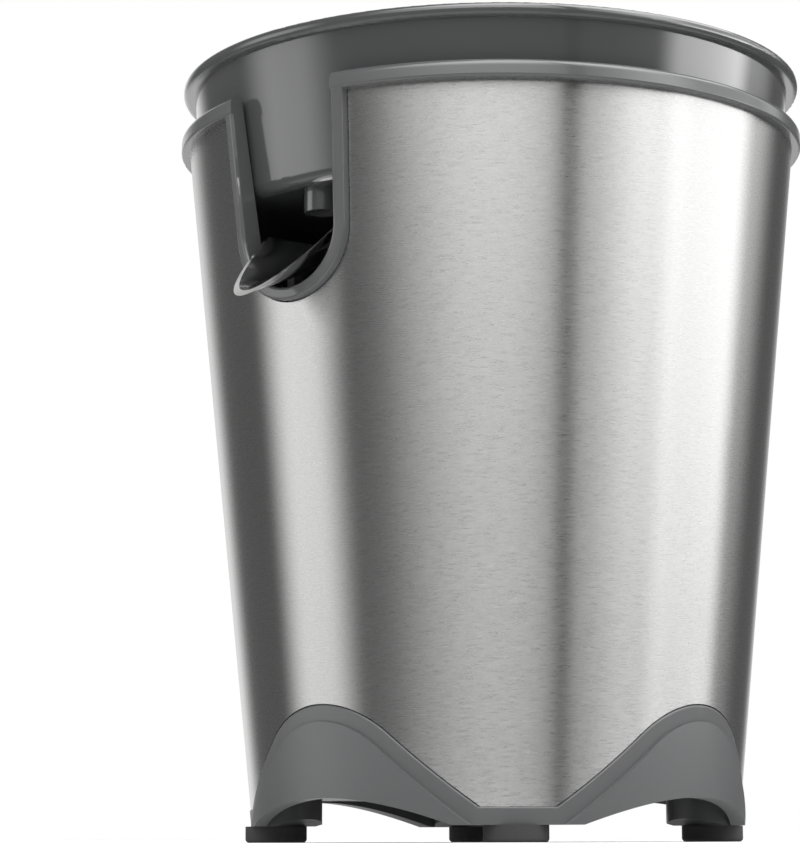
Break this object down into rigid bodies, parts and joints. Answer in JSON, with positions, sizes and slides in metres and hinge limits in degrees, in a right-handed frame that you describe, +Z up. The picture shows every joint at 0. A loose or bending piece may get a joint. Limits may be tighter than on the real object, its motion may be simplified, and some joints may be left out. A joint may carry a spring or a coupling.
{
  "type": "electric citrus press",
  "caption": "Electric citrus press with a tapered brushed steel body, lift-off bowl, strainer and ribbed cone, tilting drip-stop spout, geared motor and rubber feet.",
  "frame": {"origin": "on the table under the centre of the cone, between the feet", "axes": "+Z up along the spindle, -Y out through the spout, +X to the right of someone facing the spout's back"},
  "size_m": [0.181, 0.1925, 0.242],
  "materials": {
    "sleeve_steel": "brushed round the body",
    "trim_plastic": "satin",
    "bowl_plastic": "semi-gloss",
    "spout_steel": "polished",
    "strainer_steel": "satin",
    "cone_plastic": "semi-gloss",
    "inner_plastic": "matte",
    "rubber": "matte",
    "bronze": "sintered",
    "acetal": "smooth",
    "bright_steel": "turned or plated",
    "lamination": "oiled sheet",
    "copper": "varnished wire"
  },
  "bodies": {
    "housing": {"steel_shell": "sleeve_steel", "top_collar": "trim_plastic", "base": "trim_plastic", "bowl_cradle": "inner_plastic", "rubber_foot_1": "rubber", "rubber_foot_2": "rubber", "rubber_foot_3": "rubber", "rubber_foot_4": "rubber", "spout_bracket": "inner_plastic", "spout_pin": "bright_steel", "spindle_bush": "bronze", "spindle_seal": "rubber", "gearbox_tray": "inner_plastic", "gearbox_cover": "inner_plastic", "gearbox_screws": "bright_steel", "idler_pin": "bright_steel", "stator_core": "lamination", "coil_bobbin": "acetal", "winding": "copper", "upper_bracket": "bright_steel", "lower_bracket": "bright_steel", "rotor_bushes": "bronze", "motor_bolts": "bright_steel", "motor_spacers": "bright_steel", "microswitch": "inner_plastic", "clamp_screws": "bright_steel", "cord_gland": "rubber", "return_spring": "bright_steel"},
    "rotor": {"rotor_core": "lamination", "rotor_shaft": "bright_steel", "motor_pinion": "bright_steel", "cooling_fan": "inner_plastic"},
    "idler": {"idler_gear": "acetal"},
    "output": {"output_gear": "acetal"},
    "spindle": {"spindle": "bright_steel", "spindle_clip": "bright_steel"},
    "switch": {"switch_pin": "acetal"},
    "spout": {"spout": "spout_steel"},
    "bowl": {"juice_bowl": "bowl_plastic"},
    "strainer": {"strainer": "strainer_steel"},
    "bearing": {"cone_bush": "acetal"},
    "cone": {"cone": "cone_plastic", "cone_socket": "bright_steel"}
  },
  "joints": [
    {"name": "rotor_spin", "type": "hinge", "parent": "housing", "child": "rotor", "pos_m": [0, 0.024, 0.07], "axis": [0, 0, 1], "continuous": true},
    {"name": "idler_spin", "type": "hinge", "parent": "housing", "child": "idler", "pos_m": [0.0264, 0.02448, 0.11], "axis": [0, 0, 1], "continuous": true},
    {"name": "output_spin", "type": "hinge", "parent": "housing", "child": "output", "pos_m": [0, 0, 0.12], "axis": [0, 0, 1], "continuous": true},
    {"name": "spindle_press", "type": "slide", "parent": "output", "child": "spindle", "axis": [0, 0, -1], "range_m": [0, 0.0025], "stiffness_N_per_m": 2000, "springref_m": -0.004, "deforming": ["return_spring"]},
    {"name": "switch_press", "type": "slide", "parent": "housing", "child": "switch", "axis": [0, 0, -1], "range_m": [0, 0.0025]},
    {"name": "bowl_lift", "type": "slide", "parent": "housing", "child": "bowl", "axis": [0, 0, 1], "range_m": [0, 0.1]},
    {"name": "strainer_lift", "type": "slide", "parent": "bowl", "child": "strainer", "axis": [0, 0, 1], "range_m": [0, 0.05]},
    {"name": "cone_press", "type": "slide", "parent": "strainer", "child": "bearing", "axis": [0, 0, -1], "range_m": [0, 0.0025]},
    {"name": "cone_spin", "type": "hinge", "parent": "bearing", "child": "cone", "pos_m": [0, 0, 0.2], "axis": [0, 0, 1], "continuous": true},
    {"name": "spout_tilt", "type": "hinge", "parent": "housing", "child": "spout", "pos_m": [0, -0.06401, 0.15518], "axis": [-1, 0, 0], "range_deg": [0, 43]}
  ],
  "couplings": [
    {"joint": "idler_spin", "follows": "rotor_spin", "ratio": -0.22222},
    {"joint": "output_spin", "follows": "rotor_spin", "ratio": 0.044444},
    {"joint": "cone_spin", "follows": "rotor_spin", "ratio": 0.044444},
    {"joint": "switch_press", "follows": "spindle_press", "ratio": 1},
    {"joint": "cone_press", "follows": "spindle_press", "ratio": 1}
  ]
}
